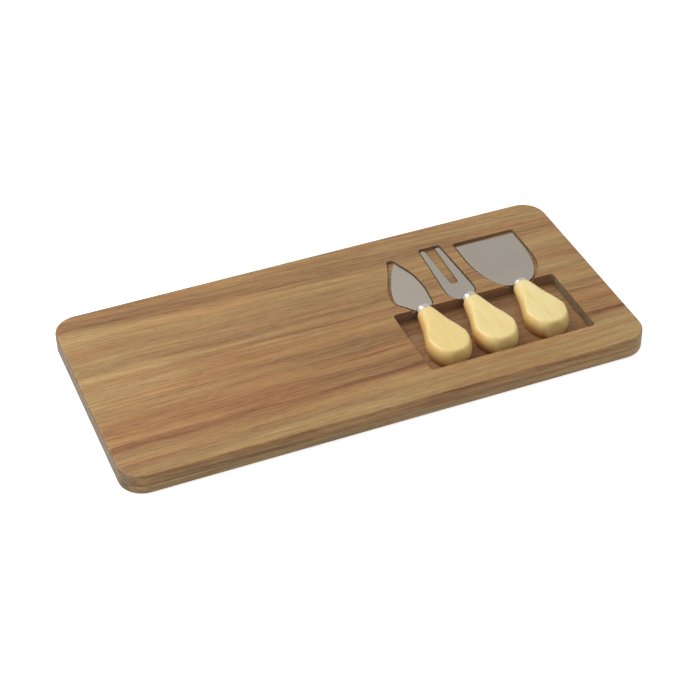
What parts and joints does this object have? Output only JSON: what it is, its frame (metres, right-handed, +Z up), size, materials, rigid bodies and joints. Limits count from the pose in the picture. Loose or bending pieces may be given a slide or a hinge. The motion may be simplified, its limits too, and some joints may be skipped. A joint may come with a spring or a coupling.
{
  "type": "cheese board with knives",
  "caption": "Flat wooden serving board with rounded corners and a sunk trough that stores small cheese knives with pear-shaped handles.",
  "frame": {"origin": "centre of the underside of the board", "axes": "+X along the board towards the end with the knives, +Y across it from the handles towards the blade tips, +Z up"},
  "size_m": [0.38, 0.18, 0.0219],
  "materials": {
    "acacia_top": "oiled acacia with long streaks along the board, satin",
    "acacia_base": "oiled acacia, slightly darker and redder, satin",
    "handle_wood": "pale lacquered hardwood, smooth",
    "blade_steel": "satin stainless sheet with ground edges",
    "ferrule_chrome": "polished"
  },
  "bodies": {
    "board": {"base_stave_1": "acacia_base", "base_stave_2": "acacia_base", "base_stave_3": "acacia_base", "base_stave_4": "acacia_base", "top_stave_front": "acacia_top", "top_stave_left_of_trough": "acacia_top", "top_stave_right_of_trough": "acacia_top", "top_stave_middle": "acacia_top", "top_stave_under_blades": "acacia_top", "top_stave_back": "acacia_top"},
    "spade_knife": {"spade_blade": "blade_steel", "spade_ferrule": "ferrule_chrome", "spade_handle": "handle_wood"},
    "cheese_fork": {"fork_blade": "blade_steel", "fork_ferrule": "ferrule_chrome", "fork_handle": "handle_wood"},
    "shovel_knife": {"shovel_blade": "blade_steel", "shovel_ferrule": "ferrule_chrome", "shovel_handle": "handle_wood"}
  },
  "joints": [
    {"name": "spade_knife_lift", "type": "slide", "parent": "board", "child": "spade_knife", "axis": [0, 0, 1], "range_m": [0, 0.03]},
    {"name": "cheese_fork_lift", "type": "slide", "parent": "board", "child": "cheese_fork", "axis": [0, 0, 1], "range_m": [0, 0.03]},
    {"name": "shovel_knife_lift", "type": "slide", "parent": "board", "child": "shovel_knife", "axis": [0, 0, 1], "range_m": [0, 0.03]}
  ]
}
